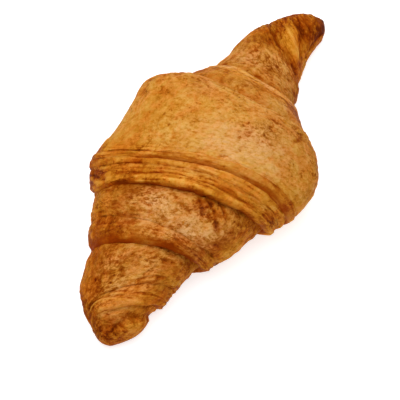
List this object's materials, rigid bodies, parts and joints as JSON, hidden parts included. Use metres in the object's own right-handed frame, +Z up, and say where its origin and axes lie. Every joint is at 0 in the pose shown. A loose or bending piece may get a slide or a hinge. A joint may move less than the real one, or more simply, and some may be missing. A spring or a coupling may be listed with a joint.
{
  "type": "croissant",
  "caption": "Baked butter croissant with a fat belly, stepped slanted wraps, one blunt and one slender horn, and a flat browned underside.",
  "frame": {"origin": "under the middle of the croissant's bounding box, on the plane that it lies on", "axes": "+X along the roll from the blunt horn to the slender horn, +Y across it towards the side where the belly bulges less, +Z up out of the underside"},
  "size_m": [0.1714, 0.0824, 0.057],
  "materials": {
    "baked_crust": "satin egg-washed crust"
  },
  "bodies": {
    "root": {"croissant": "baked_crust"}
  },
  "joints": []
}
